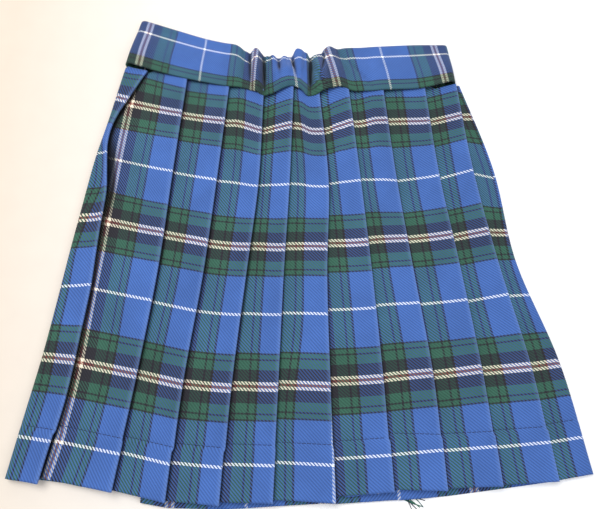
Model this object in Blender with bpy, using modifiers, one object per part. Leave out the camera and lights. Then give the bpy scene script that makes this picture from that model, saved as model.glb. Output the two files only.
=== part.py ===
"""A child's pleated kilt laid flat on its front, so that its pleated back shows.

The cloth is one long strip. From its fringed free edge it runs under everything as the over apron,
turns up round the left side, and lies in ten knife pleats that all face right. It then turns down
round the right side and runs back left as the under apron, between the over apron and the pleats.
A waistband in three lengths holds the top edge, and elastic gathers it at the middle of the back.

Lengths are in millimetres here, X to the right, Y towards the waist and Z up from the floor.
The meshes are in metres, with the origin under the middle of the whole garment.
"""

import math
import random
from collections import namedtuple

import bmesh
import bpy
from mathutils import Matrix, Vector

MM = 0.001
FLOOR = 0.0

# The cloth: how thick its wall is, and how far one layer's middle lies above the next one's.
CLOTH = 1.0
PITCH = 1.35
SETT = 100.0
SEAM_GAP = 0.3
FOLD_ROUND = PITCH / 2
LEFT_ROUND = 3.0
RIGHT_ROUND = 2.2
RIGHT_RISE = 1.5
OVER_LEVEL = FLOOR + CLOTH / 2
UNDER_LEVEL = OVER_LEVEL + PITCH
PLEAT_LEVEL = UNDER_LEVEL + PITCH

# How deep a pleat is folded, at most, as a share of the strip of it that shows.
MOST_DEPTH = 0.9
FIRST_DEPTH = 0.6

# The aprons' free edges: X at the waist and at the hem.
OVER_EDGE = (55.0, 66.0)
UNDER_EDGE = (-90.0, -103.0)

# The strip of cloth from the fringe's tips to where the under apron reaches the floor.
FRINGE_ROOM = 16.0
STEP_DOWN = 9.0

# The waistband's wall, and the height of its middle at its top and its lower edge.
BAND_CLOTH = 1.6
BAND_TOP_LEVEL = 5.0
BAND_LOW_LEVEL = 9.9
BAND_ROUND = 3.5
BAND_RETURN = 9.0
BAND_FLOOR_LEVEL = FLOOR + BAND_CLOTH / 2
FRONT_BAND_CLOTH = 1.05
BAND_OVER_LEVEL = FLOOR + FRONT_BAND_CLOTH / 2
BAND_UNDER_LEVEL = BAND_OVER_LEVEL + FRONT_BAND_CLOTH + SEAM_GAP

# How far the pleats' top edge runs up inside the waistband, and where that starts at each end.
LAP = 6.0
LAP_ENDS = ((-122.0, -112.0), (108.0, 100.0))

# The fringe on the over apron's free edge.
STRANDS = 72
FRINGE_THICK = 0.7
FRINGE_CLEAR = 0.15
STRIP_WIDE = 1.6
STRAND_LONG = 9.0
STRAND_LONG_AT_HEM = 15.0
STRAND_WIDE = 1.9
DROOP_DEGREES = 32.0
DROOPING = 9

# Steps along a path and down the garment.
LEVELS = (0.0, 0.06, 0.14, 0.26, 0.40, 0.54, 0.68, 0.80, 0.875, 0.94, 1.0)
TURN_STEPS = 4
SIDE_STEPS = 6
BAND_STEPS = 7

# A fold or side edge: Y at the hem, and X at five even steps from the waist seam to the hem.
Edge = namedtuple("Edge", "name hem_y x")
LEFT = Edge("left side", -164.1, (-139.5, -156.2, -166.4, -177.8, -191.4))
RIGHT = Edge("right side", -161.4, (128.5, 148.1, 157.1, 179.0, 191.4))
FOLDS = (
    Edge("fold 0", -164.1, (-125.2, -146.6, -146.8, -153.0, -166.5)),
    Edge("fold 1", -171.6, (-89.6, -95.3, -100.6, -109.5, -120.4)),
    Edge("fold 2", -177.6, (-55.9, -61.9, -68.6, -78.1, -84.2)),
    Edge("fold 3", -178.9, (-28.5, -30.8, -38.2, -45.6, -50.2)),
    Edge("fold 4", -177.6, (-4.9, -7.5, -11.5, -14.4, -17.5)),
    Edge("fold 5", -180.5, (15.6, 21.6, 19.5, 19.4, 18.8)),
    Edge("fold 6", -171.1, (38.7, 45.5, 51.4, 56.1, 59.4)),
    Edge("fold 7", -170.5, (66.1, 72.5, 81.1, 89.9, 93.5)),
    Edge("fold 8", -168.2, (99.2, 104.9, 114.6, 123.4, 128.9)),
    Edge("fold 9", -165.5, (124.6, 131.3, 142.9, 157.4, 165.9)),
)
EDGES = (LEFT,) + FOLDS + (RIGHT,)

# How far an apron's hem hangs below the pleats' hem.
Drop = namedtuple("Drop", "x drop")
OVER_DROPS = (Drop(-192.0, 0.0), Drop(-20.0, 0.0), Drop(30.0, 1.0), Drop(66.0, 3.6))
UNDER_DROPS = (
    Drop(-104.0, 4.5),
    Drop(-35.0, 3.9),
    Drop(16.0, 1.2),
    Drop(63.0, 4.9),
    Drop(136.0, 1.8),
    Drop(180.0, 0.0),
)

# Soft swells of the pleats below the gathers: X at the waist and lower down, reach, width, height.
Swell = namedtuple("Swell", "waist_x low_x reach half_width height")
SWELLS = (
    Swell(-40.0, -48.0, 0.34, 25.0, 0.9),
    Swell(2.0, -2.0, 0.40, 26.0, 1.3),
    Swell(48.0, 60.0, 0.34, 25.0, 0.8),
)

# The waistband from left to right: its top edge and its lower edge.
BandStation = namedtuple("BandStation", "top_x top_y low_x low_y")
BAND = (
    BandStation(-130.0, 187.0, -137.0, 142.3),
    BandStation(-99.0, 176.8, -110.6, 135.2),
    BandStation(-78.2, 170.1, -82.9, 128.3),
    BandStation(-54.4, 163.1, -55.5, 123.1),
    BandStation(-43.0, 157.0, -40.5, 119.8),
    BandStation(-36.0, 161.0, -33.0, 117.4),
    BandStation(-27.0, 153.2, -27.0, 117.0),
    BandStation(-19.0, 153.0, -18.5, 119.6),
    BandStation(-9.0, 152.6, -9.5, 123.6),
    BandStation(-2.5, 159.3, -3.5, 123.8),
    BandStation(4.5, 158.2, 1.5, 119.5),
    BandStation(8.0, 152.4, 6.5, 115.8),
    BandStation(14.5, 154.8, 14.0, 117.6),
    BandStation(21.5, 161.2, 22.0, 121.6),
    BandStation(31.0, 160.6, 31.0, 123.4),
    BandStation(45.0, 161.6, 45.5, 118.3),
    BandStation(70.0, 163.3, 72.0, 120.6),
    BandStation(95.6, 164.5, 98.0, 122.0),
    BandStation(121.0, 164.6, 124.1, 128.3),
)
BAND_COLUMNS = 76

# The front's waist seam, which isn't gathered: Y at the middle, its slope there and its curve.
FRONT_SEAM = (117.0, -0.0374, 0.001017)

# The front waistband's top edge.
TopEdge = namedtuple("TopEdge", "x y")
FRONT_TOP = (
    TopEdge(-122.0, 179.5),
    TopEdge(-99.0, 173.0),
    TopEdge(-78.0, 166.5),
    TopEdge(-54.0, 159.0),
    TopEdge(-27.0, 149.5),
    TopEdge(8.0, 149.0),
    TopEdge(31.0, 156.0),
    TopEdge(55.0, 158.5),
    TopEdge(95.0, 161.0),
    TopEdge(115.0, 161.0),
)

# Gathers of the waistband: X at its top and lower edge, half of each ridge's width, and its height.
Gather = namedtuple("Gather", "top_x low_x half_width height")
GATHERS = (
    Gather(-50.0, -47.0, 10.0, 1.0),
    Gather(-36.0, -34.0, 7.5, 3.4),
    Gather(-17.0, -14.0, 8.5, 2.8),
    Gather(0.5, -2.5, 7.5, 3.6),
    Gather(18.0, 15.5, 9.0, 3.4),
    Gather(33.0, 34.0, 11.0, 1.6),
)

Finish = namedtuple("Finish", "name color roughness")
PLEAT_CLOTH = Finish("pleat_cloth", (0.07, 0.16, 0.42), 0.85)
APRON_CLOTH = Finish("apron_cloth", (0.05, 0.17, 0.22), 0.85)
FRINGE_YARN = Finish("fringe_yarn", (0.02, 0.10, 0.08), 0.9)
BAND_FACING = Finish("band_cloth", (0.08, 0.18, 0.46), 0.85)


def blend(low, high, share):
    """The value a share of the way from low to high."""
    return low + (high - low) * share


def ease(share):
    """A share from 0 to 1, started and ended gently."""
    share = min(max(share, 0.0), 1.0)
    return share * share * (3.0 - 2.0 * share)


def bump(distance, half_width):
    """1 in the middle of a soft ridge, and 0 from half its width on."""
    if abs(distance) >= half_width:
        return 0.0
    return 0.5 * (1.0 + math.cos(math.pi * distance / half_width))


def along(values, share):
    """A smooth curve through evenly spaced values, read a share of the way along it."""
    last = len(values) - 1
    place = min(max(share, 0.0), 1.0) * last
    k = min(int(place), last - 1)
    t = place - k
    here, after = values[k], values[k + 1]
    before = values[k - 1] if k > 0 else 2.0 * here - after
    later = values[k + 2] if k + 2 <= last else 2.0 * after - here
    slope = (after - before) * t
    bend = (2.0 * before - 5.0 * here + 4.0 * after - later) * t * t
    twist = (3.0 * here - before - 3.0 * after + later) * t**3
    return here + 0.5 * (slope + bend + twist)


def between(x, places, values):
    """The value at x, in straight lines between the places."""
    if x <= places[0]:
        return values[0]
    for k in range(1, len(places)):
        if x <= places[k]:
            return blend(values[k - 1], values[k], (x - places[k - 1]) / (places[k] - places[k - 1]))
    return values[-1]


def band_point(across, share):
    """X and Y on the waistband: across it from left to right, and from its top to its lower edge."""
    top_x = along([row.top_x for row in BAND], across)
    top_y = along([row.top_y for row in BAND], across)
    low_x = along([row.low_x for row in BAND], across)
    low_y = along([row.low_y for row in BAND], across)
    return blend(top_x, low_x, share), blend(top_y, low_y, share)


LOW_EDGE = [band_point(k / (2 * BAND_COLUMNS), 1.0) for k in range(2 * BAND_COLUMNS + 1)]


def back_seam(x):
    """Y of the pleats' waist seam at x, just below the waistband's lower edge."""
    return between(x, [point[0] for point in LOW_EDGE], [point[1] for point in LOW_EDGE]) - SEAM_GAP


def front_seam(x):
    """Y of the front's waist seam at x, a shallow curve."""
    middle, slope, curve = FRONT_SEAM
    return middle + slope * x + curve * x * x


def drop_at(drops, x):
    """How far an apron's hem hangs below the pleats' hem at x."""
    return between(x, [row.x for row in drops], [row.drop for row in drops])


def lap_at(x):
    """How far the pleats' top edge runs up inside the waistband at x."""
    (left_start, left_full), (right_start, right_full) = LAP_ENDS
    left = ease((x - left_start) / (left_full - left_start))
    right = ease((x - right_start) / (right_full - right_start))
    return LAP * min(left, right)


class Level:
    """Where the folds and layers lie across the kilt, at one share of the way down to the hem."""

    def __init__(self, down):
        self.down = down
        self.edge_x = [along(edge.x, down) for edge in EDGES]
        self.left, self.right = self.edge_x[0], self.edge_x[-1]
        self.fold = self.edge_x[1:-1]
        self.inner = [self.fold[0] - FIRST_DEPTH * (self.fold[0] - self.left)]
        for before, here in zip(self.fold, self.fold[1:]):
            shows = here - before
            self.inner.append(here - min(MOST_DEPTH * shows, (SETT - shows) / 2.0))
        self.over_edge = blend(*OVER_EDGE, down)
        self.under_edge = blend(*UNDER_EDGE, down)

    def y(self, x, seam=back_seam):
        """Y of the pleated back at x, or of what hangs from another seam."""
        waist_y = seam(between(x, self.edge_x, [edge.x[0] for edge in EDGES]))
        return blend(waist_y, between(x, self.edge_x, [edge.hem_y for edge in EDGES]), self.down)

    def apron_y(self, x, drops):
        """Y of an apron at x: its hem hangs a little lower than the pleats' hem."""
        return self.y(x, front_seam) - drop_at(drops, x) * self.down**2

    def under_level(self, x):
        """Height of the under apron's middle: on the over apron and its fringe, then on the floor."""
        step = (x - self.over_edge - FRINGE_ROOM) / STEP_DOWN
        return blend(UNDER_LEVEL, OVER_LEVEL, min(max(step, 0.0), 1.0))

    def ground(self, x):
        """Height of the middle of the lowest layer of the pleats."""
        start = self.over_edge + FRINGE_ROOM
        end = self.right - 4.0 * RIGHT_ROUND
        sunk = min(max((x - start) / (end - start), 0.0), 1.0) * (UNDER_LEVEL - OVER_LEVEL)
        swelled = 0.0
        for swell in SWELLS:
            if self.down < swell.reach:
                middle = blend(swell.waist_x, swell.low_x, self.down / swell.reach)
                fade = 1.0 - ease(self.down / swell.reach)
                swelled += swell.height * fade * bump(x - middle, swell.half_width)
        return PLEAT_LEVEL - sunk + swelled

    def face(self, i, x):
        """Height of pleat i's upper layer above the ground. The last one is the right side's."""
        if i == len(self.fold):
            share = (x - self.inner[-1]) / (self.fold[-1] - self.inner[-1])
            return RIGHT_RISE * min(share, 1.0)
        inner = self.inner[i]
        if x <= inner:
            if i == 0:
                return 2.0 * PITCH
            return 2.0 * PITCH * (x - self.inner[i - 1]) / (inner - self.inner[i - 1])
        return 2.0 * PITCH + self.rise(i) * (x - inner) / (self.fold[i] - inner)

    def underfold(self, i, x):
        """Height of pleat i's hidden layer above the ground."""
        return PITCH + self.rise(i) * (x - self.inner[i]) / (self.fold[i] - self.inner[i])

    def rise(self, i):
        """How much pleat i climbs from its inner fold to its outer fold, onto the next pleat."""
        return self.face(i + 1, self.fold[i])


def half_turn(x, low, high, reach, steps):
    """Points of a half turn between two heights, bulging by reach. It leaves out both ends."""
    middle, radius = (low + high) / 2.0, (high - low) / 2.0
    for k in range(1, steps):
        angle = math.pi * k / steps
        yield x + reach * math.sin(angle), middle - radius * math.cos(angle)


def spread(start, end, steps):
    """Even steps from start to end, both included."""
    return [blend(start, end, k / steps) for k in range(steps + 1)]


def outer_fold_x(level, i):
    """X where pleat i's upper layer starts to turn under."""
    return level.fold[i] - CLOTH / 2.0 - FOLD_ROUND


def face_path(level, i, start):
    """Pleat i's upper layer from start, past its inner fold, to its outer fold."""
    inner, end = level.inner[i], outer_fold_x(level, i)
    xs = spread(start, inner, 2) + spread(inner, end, 3)[1:]
    return [(x, level.ground(x) + level.face(i, x)) for x in xs]


def outer_fold(level, i):
    """The half turn of pleat i at its outer fold, from its upper layer to its hidden one."""
    x = outer_fold_x(level, i)
    high = level.ground(x) + level.face(i, x)
    low = level.ground(x) + level.underfold(i, x)
    return list(half_turn(x, low, high, FOLD_ROUND, TURN_STEPS))[::-1]


def underfold_path(level, i, end):
    """Pleat i's hidden layer, from its outer fold back to end."""
    xs = spread(outer_fold_x(level, i), end, 2)
    return [(x, level.ground(x) + level.underfold(i, x)) for x in xs]


def inner_fold(level, i):
    """The half turn from pleat i's hidden layer down to the next pleat's upper layer."""
    x = level.inner[i] + FOLD_ROUND
    high = level.ground(x) + level.underfold(i, x)
    low = level.ground(x) + level.face(i + 1, x)
    return list(half_turn(x, low, high, -FOLD_ROUND, TURN_STEPS))[::-1]


def over_apron_path(level):
    """The over apron on the floor, the left side, and the first pleat as far as its inner fold."""
    x = level.left + CLOTH / 2.0 + LEFT_ROUND
    high = level.ground(x) + level.face(0, x)
    points = [(at, OVER_LEVEL, OVER_DROPS) for at in spread(level.over_edge, x, 10)]
    points += [(at, z, None) for at, z in half_turn(x, OVER_LEVEL, high, -LEFT_ROUND, SIDE_STEPS)]
    folded = face_path(level, 0, x) + outer_fold(level, 0)
    folded += underfold_path(level, 0, level.inner[0] + FOLD_ROUND)
    return points + [(at, z, None) for at, z in folded]


def pleats_path(level):
    """Pleats one to nine, from the first one's hidden start to the last one's hidden end."""
    points = []
    last = len(level.fold) - 1
    for i in range(1, last + 1):
        points += face_path(level, i, level.inner[i - 1] + FOLD_ROUND)
        points += outer_fold(level, i)
        points += underfold_path(level, i, level.inner[i] + FOLD_ROUND)
        if i < last:
            points += inner_fold(level, i)
    return [(x, z, None) for x, z in points]


def under_apron_path(level):
    """The last fold's hidden start, the right side, and the under apron back to its free edge."""
    last = len(level.fold)
    x = level.right - CLOTH / 2.0 - RIGHT_ROUND
    start, outer = level.inner[last - 1] + FOLD_ROUND, min(level.fold[last - 1], x - 0.5)
    top = spread(start, outer, 3) + spread(outer, x, 2)[1:]
    points = [(at, level.ground(at) + level.face(last, at), None) for at in top]
    turn = list(half_turn(x, OVER_LEVEL, points[-1][1], RIGHT_ROUND, SIDE_STEPS))[::-1]
    points += [(at, z, None) for at, z in turn]
    landing = level.over_edge + FRINGE_ROOM + STEP_DOWN
    xs = spread(x, landing, 3) + spread(landing, landing - STEP_DOWN, 2)[1:]
    xs += spread(landing - STEP_DOWN, level.under_edge, 8)[1:]
    return points + [(at, level.under_level(at), UNDER_DROPS) for at in xs]


def cloth_rows(path, lapped):
    """The path at each level, as rows of points from the waist seam to the hem."""
    rows = []
    for down in LEVELS:
        level = Level(down)
        short = SEAM_GAP if down == 0.0 else 0.0
        row = []
        for x, z, drops in path(level):
            y = level.apron_y(x, drops) if drops else level.y(x)
            row.append((x, y - short, z))
        if lapped and down == 0.0:
            rows.append([(x, y + max(lap_at(x), SEAM_GAP), z) for x, y, z in row])
        rows.append(row)
    return rows


def band_height(x, share):
    """Height of the waistband's middle: it lies over the pleats, and its gathers stand up."""
    height = blend(BAND_TOP_LEVEL, BAND_LOW_LEVEL, ease(share / 0.78))
    for gather in GATHERS:
        middle = blend(gather.top_x, gather.low_x, share)
        height += gather.height * bump(x - middle, gather.half_width)
    return height


def back_band_row(share):
    """The waistband across the back and round both sides, at one share of its height."""
    (left, left_y), (right, right_y) = band_point(0.0, share), band_point(1.0, share)
    first, last = left + BAND_CLOTH / 2 + BAND_ROUND, right - BAND_CLOTH / 2 - BAND_ROUND
    row = [(x, left_y, BAND_FLOOR_LEVEL) for x in spread(first + BAND_RETURN, first, 2)]
    turn = half_turn(first, BAND_FLOOR_LEVEL, band_height(first, share), -BAND_ROUND, SIDE_STEPS)
    row += [(x, left_y, z) for x, z in turn]
    for k in range(BAND_COLUMNS + 1):
        x, y = band_point(k / BAND_COLUMNS, share)
        x = blend(first, last, (x - left) / (right - left))
        row.append((x, y, band_height(x, share)))
    turn = half_turn(last, BAND_FLOOR_LEVEL, band_height(last, share), BAND_ROUND, SIDE_STEPS)
    row += [(x, right_y, z) for x, z in list(turn)[::-1]]
    row += [(x, right_y, BAND_FLOOR_LEVEL) for x in spread(last, last - BAND_RETURN, 2)]
    return row


def front_band_row(share, xs, level_at):
    """A front waistband at one share of its height, from its top edge to the front's waist seam."""
    row = []
    for x in xs:
        top_y = between(x, [edge.x for edge in FRONT_TOP], [edge.y for edge in FRONT_TOP])
        row.append((x, blend(top_y, front_seam(x), share), level_at(x)))
    return row


def over_band_row(share):
    """The over apron's waistband on the floor, from the left side to the apron's free edge."""
    left = band_point(0.0, share)[0] + BAND_CLOTH / 2 + BAND_ROUND + BAND_RETURN + SEAM_GAP
    return front_band_row(share, spread(left, OVER_EDGE[0], 26), lambda x: BAND_OVER_LEVEL)


def under_band_row(share):
    """The under apron's waistband, over the other one and then down to the floor at the right."""
    right = band_point(1.0, share)[0] - BAND_CLOTH / 2 - BAND_ROUND - BAND_RETURN - SEAM_GAP
    start = OVER_EDGE[0] + FRINGE_ROOM

    def level_at(x):
        step = min(max((x - start) / STEP_DOWN, 0.0), 1.0)
        return blend(BAND_UNDER_LEVEL, BAND_OVER_LEVEL, step)

    xs = spread(right, start + STEP_DOWN, 2) + [start] + spread(start, UNDER_EDGE[0], 24)[1:]
    return front_band_row(share, xs, level_at)


def band_rows(row_at):
    """Rows of a waistband from its top edge to its lower edge."""
    return [row_at(k / BAND_STEPS) for k in range(BAND_STEPS + 1)]


def material_of(finish):
    """A Principled material with the finish's colour and roughness."""
    found = bpy.data.materials.get(finish.name)
    if found:
        return found
    material = bpy.data.materials.new(finish.name)
    material.use_nodes = True
    shader = material.node_tree.nodes["Principled BSDF"]
    shader.inputs["Base Color"].default_value = (*finish.color, 1.0)
    shader.inputs["Roughness"].default_value = finish.roughness
    shader.inputs["Metallic"].default_value = 0.0
    return material


def add_object(name, bm, finish, collection):
    """A named object from a bmesh, shaded smooth but for its sharp edges."""
    mesh = bpy.data.meshes.new(name)
    bm.to_mesh(mesh)
    bm.free()
    mesh.shade_smooth()
    mesh.set_sharp_from_angle(angle=math.radians(50.0))
    mesh.materials.append(material_of(finish))
    obj = bpy.data.objects.new(name, mesh)
    collection.objects.link(obj)
    return obj


def add_wall(name, rows, thickness, finish, collection):
    """A wall of cloth: a grid laid on rows of points, thickened evenly to both sides."""
    last_row, last_column = len(rows) - 1, len(rows[0]) - 1
    bm = bmesh.new()
    bmesh.ops.create_grid(bm, x_segments=last_column, y_segments=last_row, size=0.5)
    for vert in bm.verts:
        column = round((vert.co.x + 0.5) * last_column)
        row = round((0.5 - vert.co.y) * last_row)
        vert.co = Vector(rows[row][column]) * MM
    obj = add_object(name, bm, finish, collection)
    wall = obj.modifiers.new("wall", "SOLIDIFY")
    wall.thickness = thickness * MM
    wall.offset = 0.0
    wall.use_even_offset = True
    return obj


def strip_point(share, aside):
    """A point of the fringe's strip: how far down the apron's edge, and how far outside it."""
    level = Level(blend(0.012, 0.998, share))
    x = level.over_edge + SEAM_GAP + aside
    return x, level.apron_y(level.over_edge, OVER_DROPS)


def add_fringe(collection):
    """A comb of yarn ends: a narrow strip along the over apron's free edge, and its strands."""
    steps = 2 * STRANDS + 1
    bm = bmesh.new()
    bmesh.ops.create_cube(bm, size=1.0)
    long_edges = [e for e in bm.edges if abs(e.verts[0].co.y - e.verts[1].co.y) > 0.5]
    bmesh.ops.subdivide_edges(bm, edges=long_edges, cuts=steps - 1, use_grid_fill=True)
    for vert in bm.verts:
        share = 0.5 - vert.co.y
        x, y = strip_point(share, STRIP_WIDE * (vert.co.x + 0.5))
        z = FLOOR + FRINGE_CLEAR + FRINGE_THICK * (vert.co.z + 0.5)
        vert.co = Vector((x, y, z)) * MM
    bm.normal_update()
    outer = [face for face in bm.faces if face.normal.x > 0.7]
    outer.sort(key=lambda face: -face.calc_center_median().y)
    roots = outer[1::2]
    wobble = random.Random(7)
    for k, root in enumerate(roots):
        droop = ease((k - len(roots) + DROOPING) / DROOPING)
        angle = -math.radians(DROOP_DEGREES * droop + wobble.uniform(-4.0, 4.0))
        long = blend(STRAND_LONG, STRAND_LONG_AT_HEM, droop) * wobble.uniform(0.88, 1.06)
        tip = root
        for stretch, width in ((0.5, 0.9), (0.5, 0.55)):
            grown = bmesh.ops.extrude_discrete_faces(bm, faces=[tip])["faces"]
            tip = grown[0]
            step = Vector((math.cos(angle), math.sin(angle), 0.0)) * long * stretch * MM
            bmesh.ops.translate(bm, verts=tip.verts, vec=step)
            middle = tip.calc_center_median()
            half = 0.5 * width * STRAND_WIDE * MM
            for vert in tip.verts:
                side = 1.0 if vert.co.y > middle.y else -1.0
                vert.co.x = middle.x - side * half * math.sin(angle)
                vert.co.y = middle.y + side * half * math.cos(angle)
    bmesh.ops.recalc_face_normals(bm, faces=bm.faces)
    return add_object("apron_fringe", bm, FRINGE_YARN, collection)


def centre_on_floor(objects):
    """Moves every mesh so that the whole garment's box stands centred on the origin."""
    bpy.context.view_layer.update()
    graph = bpy.context.evaluated_depsgraph_get()
    corners = []
    for obj in objects:
        corners += [Vector(corner) for corner in obj.evaluated_get(graph).bound_box]
    low = Vector([min(corner[axis] for corner in corners) for axis in range(3)])
    high = Vector([max(corner[axis] for corner in corners) for axis in range(3)])
    middle = (low + high) / 2.0
    for obj in objects:
        obj.data.transform(Matrix.Translation((-middle.x, -middle.y, 0.0)))


def build():
    """Builds the kilt's pieces in their own collection."""
    for obj in list(bpy.data.objects):
        bpy.data.objects.remove(obj, do_unlink=True)
    kilt = bpy.data.collections.new("scottish_kilt")
    bpy.context.scene.collection.children.link(kilt)
    over_band, under_band = band_rows(over_band_row), band_rows(under_band_row)
    pieces = [
        add_wall("over_apron", cloth_rows(over_apron_path, False), CLOTH, APRON_CLOTH, kilt),
        add_wall("pleated_back", cloth_rows(pleats_path, True), CLOTH, PLEAT_CLOTH, kilt),
        add_wall("under_apron", cloth_rows(under_apron_path, False), CLOTH, APRON_CLOTH, kilt),
        add_wall("waistband_back", band_rows(back_band_row), BAND_CLOTH, BAND_FACING, kilt),
        add_wall("waistband_over_apron", over_band, FRONT_BAND_CLOTH, BAND_FACING, kilt),
        add_wall("waistband_under_apron", under_band, FRONT_BAND_CLOTH, BAND_FACING, kilt),
        add_fringe(kilt),
    ]
    centre_on_floor(pieces)


build()
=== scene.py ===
"""Looks of a child's tartan kilt, laid flat on its front so that its pleated back shows.

The cloth is one strip of polyviscose twill: over apron underneath, ten knife pleats, under apron
between them. Each piece here is a thin shell on the form of its solid, with the softer folds, the
gathers and the stitching of the real one. Lengths are in millimetres until a mesh is written.
"""

import logging
import math
import random
from dataclasses import dataclass
from enum import Enum
from typing import Any, Callable, Iterable, Optional

import bmesh
import bpy
import numpy as np
from bpy.types import Material, Node, NodeSocket, NodeTree, Object
from mathutils import Matrix, Vector


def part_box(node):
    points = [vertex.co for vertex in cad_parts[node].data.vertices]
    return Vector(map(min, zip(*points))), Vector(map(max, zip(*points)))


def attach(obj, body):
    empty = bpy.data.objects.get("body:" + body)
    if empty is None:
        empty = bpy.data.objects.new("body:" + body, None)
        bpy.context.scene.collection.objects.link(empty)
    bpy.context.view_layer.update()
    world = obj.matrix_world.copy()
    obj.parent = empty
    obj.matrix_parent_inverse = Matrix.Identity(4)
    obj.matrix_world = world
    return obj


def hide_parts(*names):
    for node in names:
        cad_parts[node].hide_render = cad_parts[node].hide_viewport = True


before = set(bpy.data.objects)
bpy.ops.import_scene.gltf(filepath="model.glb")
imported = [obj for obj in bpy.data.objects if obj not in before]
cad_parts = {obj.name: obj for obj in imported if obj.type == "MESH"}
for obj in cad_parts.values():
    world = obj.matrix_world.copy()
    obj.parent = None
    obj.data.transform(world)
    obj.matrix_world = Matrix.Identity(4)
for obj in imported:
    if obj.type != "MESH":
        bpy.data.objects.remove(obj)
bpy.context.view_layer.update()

MM = 0.001
# A repeat of the check, and the gap between two pieces at a seam.
SETT = 100.0
SEAM_GAP = 0.3
LOG = logging.getLogger("kilt")


# Tables of the garment as it lies


@dataclass(frozen=True)
class Edge:
    """A fold or side of the skirt: Y at the hem, and X at even steps from waist to hem."""

    hem_y: float
    x: tuple[float, ...]


LEFT = Edge(-164.1, (-141.8, -149.3, -157.1, -162.7, -168.0, -172.8, -178.1, -184.8, -191.4))
RIGHT = Edge(-161.4, (128.5, 148.1, 157.1, 179.0, 191.4))
FOLDS = (
    Edge(
        -165.6,
        (
            *(-121.9, -128.6, -135.4, -142.1, -146.4, -147.4, -146.0, -144.6, -143.5, -144.1, -145.3, -146.1),
            *(-146.8, -147.2, -147.8, -149.0, -150.4, -151.7, -153.0, -154.5, -156.3, -158.8, -161.5, -164.1),
            -166.6,
        ),
    ),
    Edge(-171.6, (-89.6, -95.3, -100.6, -109.5, -120.4)),
    Edge(-177.6, (-55.9, -61.9, -68.6, -78.1, -84.2)),
    Edge(-178.9, (-28.5, -30.8, -38.2, -45.6, -50.2)),
    Edge(-177.6, (-4.9, -7.5, -11.5, -14.4, -17.5)),
    Edge(-176.5, (15.6, 21.6, 19.5, 20.6, 22.4)),
    Edge(-171.1, (38.7, 45.5, 51.4, 56.1, 59.4)),
    Edge(-170.5, (66.1, 72.5, 81.1, 89.9, 93.5)),
    Edge(-168.2, (99.2, 104.9, 114.6, 123.4, 128.9)),
    Edge(-165.5, (124.6, 131.3, 142.9, 157.4, 165.9)),
)
EDGES = (LEFT,) + FOLDS + (RIGHT,)
OVER_EDGE = (55.0, 66.0)
UNDER_EDGE = (-90.0, -103.0)
OVER_DROPS = ((-192.0, -20.0, 30.0, 66.0), (0.0, 0.0, 1.0, 6.0))
UNDER_DROPS = ((-104.0, -35.0, 16.0, 63.0, 136.0, 180.0), (4.5, 3.9, 2.6, 6.5, 2.4, 0.0))

# The waistband's top and lower edge from left to right: top X, top Y, lower X, lower Y.
BAND = (
    (-132.8, 188.2, -141.0, 145.2),
    (-101.0, 177.4, -112.2, 135.8),
    (-79.0, 170.3, -83.5, 128.5),
    (-57.2, 165.1, -56.5, 123.2),
    (-50.7, 162.6, -48.9, 122.6),
    (-46.3, 159.5, -44.2, 121.6),
    (-41.0, 157.2, -39.3, 119.5),
    (-36.1, 158.8, -33.5, 116.4),
    (-33.0, 156.9, -30.6, 115.1),
    (-29.4, 154.6, -27.6, 115.6),
    (-23.6, 153.4, -22.8, 116.6),
    (-17.1, 152.5, -17.3, 118.8),
    (-7.4, 153.4, -7.9, 122.4),
    (-2.9, 159.3, -3.2, 122.3),
    (1.5, 158.0, 1.5, 119.5),
    (5.6, 156.9, 5.0, 115.8),
    (7.4, 153.6, 7.9, 114.8),
    (11.2, 153.8, 13.2, 115.8),
    (18.0, 155.6, 19.0, 118.3),
    (20.8, 159.8, 23.0, 120.7),
    (25.1, 161.0, 27.0, 122.3),
    (32.5, 161.3, 36.0, 122.6),
    (45.0, 161.6, 46.5, 118.9),
    (70.0, 163.3, 72.0, 120.6),
    (95.6, 164.5, 98.0, 122.0),
    (121.0, 164.6, 124.1, 128.3),
)
FRONT_SEAM = (117.0, -0.0374, 0.001017)
FRONT_TOP = (
    (-122.0, -99.0, -78.0, -54.0, -27.0, 8.0, 31.0, 55.0, 95.0, 115.0),
    (179.5, 173.0, 166.5, 159.0, 149.5, 149.0, 156.0, 158.5, 161.0, 161.0),
)


@dataclass(frozen=True)
class Ridge:
    """A soft ridge or trough that runs down: X at its two ends, its reach, width and height."""

    top_x: float
    low_x: float
    half_width: float
    height: float
    reach: float = 1.0


# Ridges and troughs of the skirt below the gathered middle of the waistband.
SKIRT_RIDGES = (
    Ridge(-40.0, -48.0, 25.0, 0.9, 0.34),
    Ridge(2.0, -2.0, 26.0, 1.3, 0.40),
    Ridge(48.0, 60.0, 25.0, 0.8, 0.34),
)


@dataclass(frozen=True)
class Gather:
    """A ridge of the gathered waistband, or a crease where its heights are negative.

    Its line runs from top_x at the band's top edge to low_x at its lower edge. It falls off over
    left and right of that line. Its heights are those at even steps from top to bottom.
    """

    top_x: float
    low_x: float
    left: float
    right: float
    heights: tuple[float, ...]

    def at(self, x: float, share: float) -> float:
        """How much it adds to the band's height at x, a share of the way down the band."""
        away = x - blend(self.top_x, self.low_x, share)
        reach = self.left if away < 0.0 else self.right
        return along(self.heights, share) * bump(away, reach)


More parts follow.
